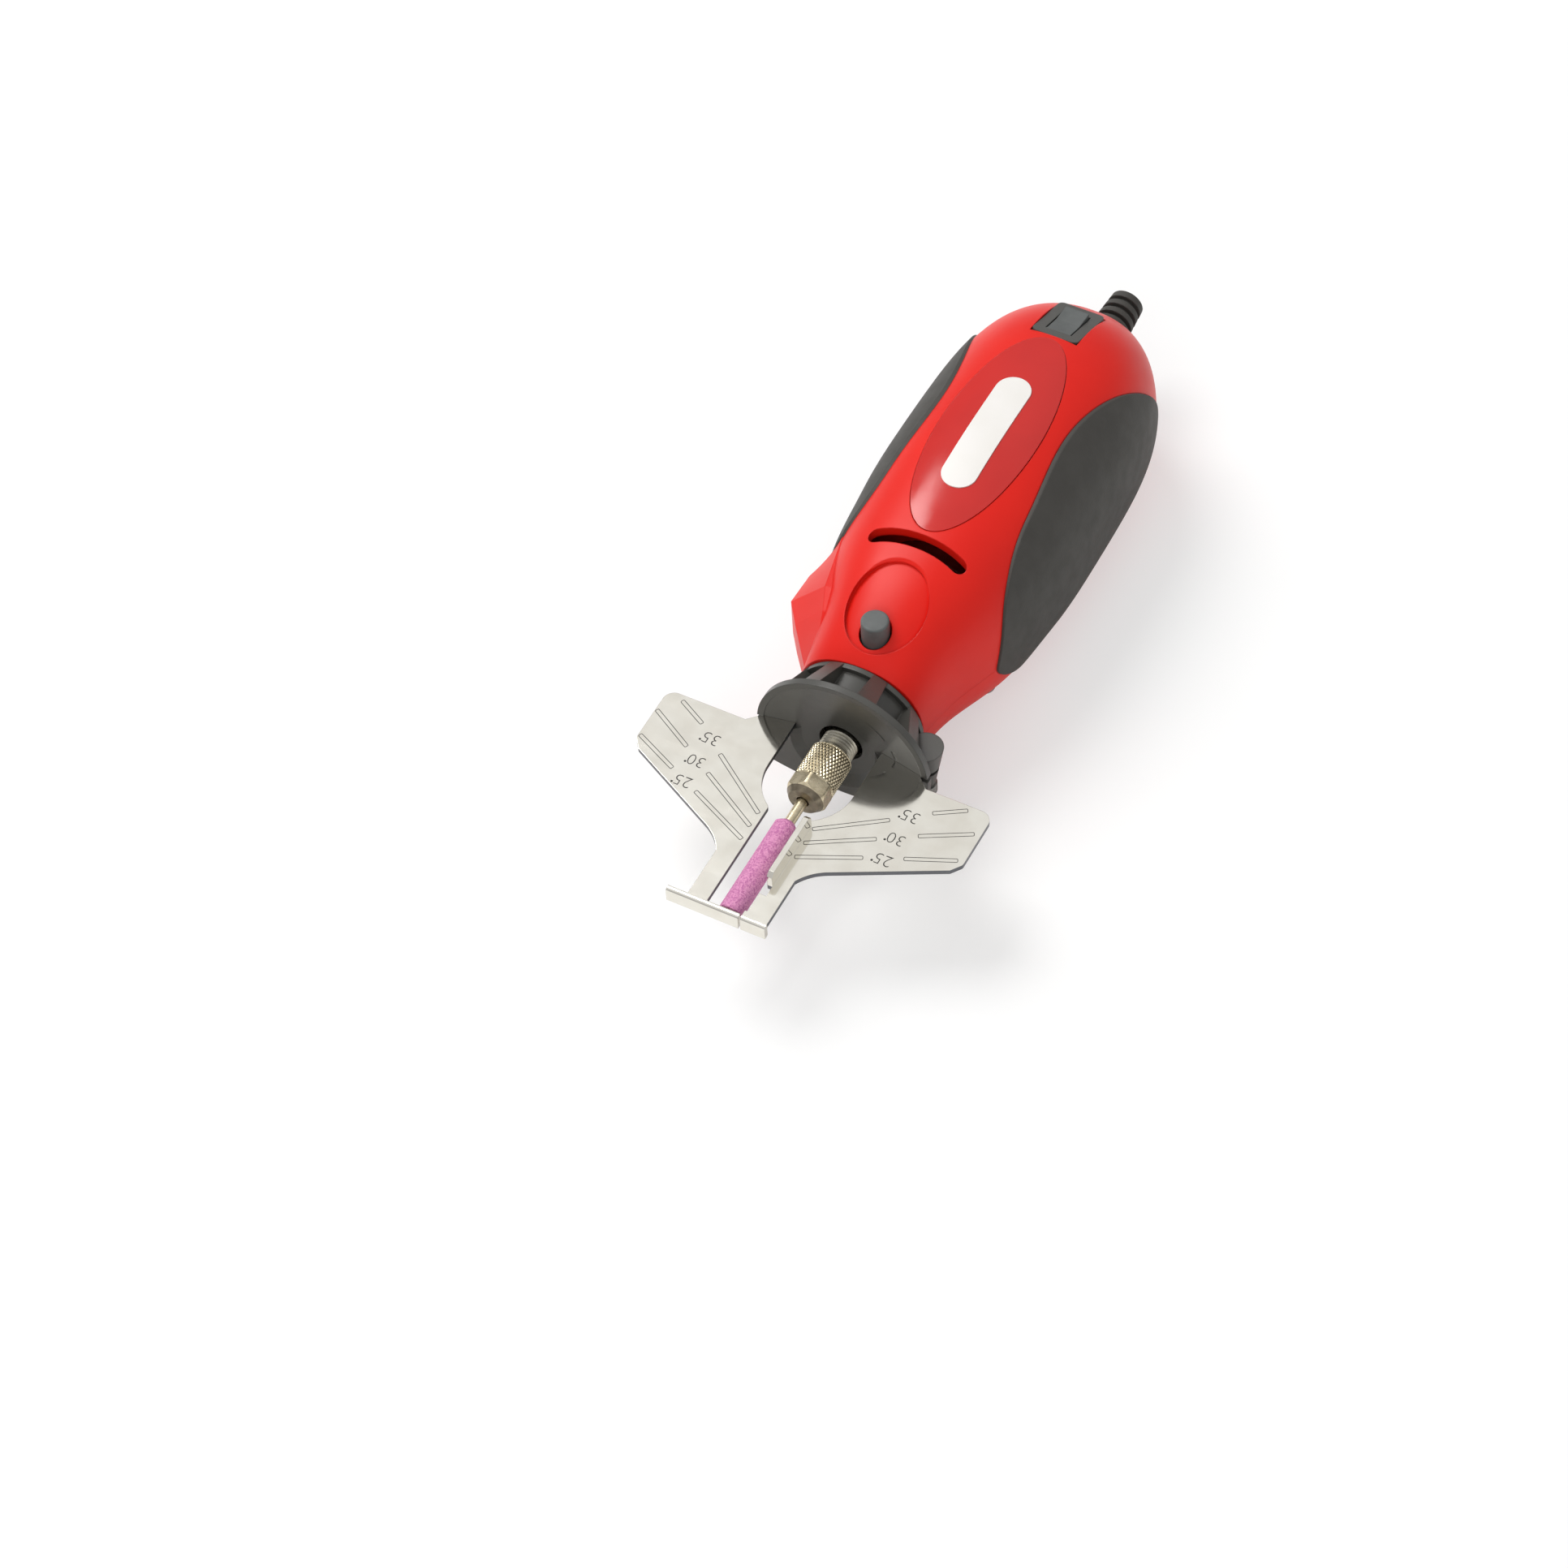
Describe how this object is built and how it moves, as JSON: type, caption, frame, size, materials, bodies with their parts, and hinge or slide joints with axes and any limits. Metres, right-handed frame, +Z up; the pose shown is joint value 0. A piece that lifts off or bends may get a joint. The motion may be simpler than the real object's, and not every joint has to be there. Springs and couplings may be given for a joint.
{
  "type": "electric chainsaw sharpener",
  "caption": "Hand-held low-voltage grinder with a slim pink stone on a collet spindle, a turning collar and a steel guide plate for setting the filing angle.",
  "frame": {"origin": "middle of the bounding box's underside, below the handle's belly", "axes": "+X along the spindle towards the grinding stone, +Y to the side of the clamp lug, +Z up"},
  "size_m": [0.1918, 0.0768, 0.0508],
  "materials": {
    "red_housing": "moulded, satin gloss",
    "black_rubber": "moulded, matt",
    "red_inlay": "high gloss",
    "white_label": "printed, bare",
    "black_plastic": "moulded, satin",
    "grey_plastic": "moulded, matt",
    "nickel_plate": "nickel plated, bright",
    "nut_steel": "turned and knurled, plated",
    "steel": "machined",
    "pink_stone": "bonded abrasive grain",
    "zinc_screw": "zinc plated",
    "can_steel": "plated sheet",
    "magnet": "sintered",
    "copper": "enamelled wire",
    "commutator_copper": "machined",
    "carbon": "pressed carbon",
    "core_steel": "stacked sheet",
    "fan_plastic": "moulded",
    "brass": "tinned",
    "spring_steel": "drawn wire",
    "lead_cover": "wire cover"
  },
  "bodies": {
    "handle": {"upper_shell": "red_housing", "lower_shell": "red_housing", "left_grip": "black_rubber", "right_grip": "black_rubber", "gloss_inlay": "red_inlay", "blank_pill": "white_label", "housing_screws": "zinc_screw", "nose_sleeve": "black_plastic", "front_bearing": "steel", "rear_bearing": "steel", "motor_can": "can_steel", "motor_magnets": "magnet", "motor_endcap": "fan_plastic", "motor_terminals": "brass", "motor_bush": "commutator_copper", "carbon_brushes": "carbon", "switch_frame": "black_plastic", "switch_blades": "brass", "cord_gland": "black_rubber", "motor_leads": "lead_cover", "noise_capacitor": "brass"},
    "guide": {"guide_collar": "black_plastic", "clamp_screw": "zinc_screw", "left_wing": "nickel_plate", "right_wing": "nickel_plate", "plate_rivets": "steel"},
    "drive": {"spindle": "nut_steel", "collet": "steel", "stone_shank": "steel", "grinding_stone": "pink_stone", "motor_shaft": "steel", "armature_core": "core_steel", "armature_windings": "copper", "commutator": "commutator_copper", "cooling_fan": "fan_plastic", "shaft_coupler": "black_plastic"},
    "nut": {"collet_nut": "nut_steel"},
    "lock": {"lock_button": "grey_plastic", "lock_pin": "steel", "button_spring": "spring_steel"},
    "rocker": {"power_rocker": "black_plastic"}
  },
  "joints": [
    {"name": "guide_turn", "type": "hinge", "parent": "handle", "child": "guide", "pos_m": [0.0407, 0, 0.02206], "axis": [1, 0, 0], "range_deg": [-90, 90]},
    {"name": "spindle_spin", "type": "hinge", "parent": "handle", "child": "drive", "pos_m": [0.0271, 0, 0.02206], "axis": [1, 0, 0], "continuous": true},
    {"name": "nut_turn", "type": "hinge", "parent": "drive", "child": "nut", "pos_m": [0.0531, 0, 0.02206], "axis": [1, 0, 0], "range_deg": [0, 540]},
    {"name": "lock_press", "type": "slide", "parent": "handle", "child": "lock", "axis": [0, 0, -1], "range_m": [0, 0.0022], "stiffness_N_per_m": 300, "springref_m": -0.001, "deforming": ["button_spring"]},
    {"name": "rocker_tilt", "type": "hinge", "parent": "handle", "child": "rocker", "pos_m": [-0.06446, 0, 0.04285], "axis": [0, 1, 0], "range_deg": [-14, 0]}
  ]
}
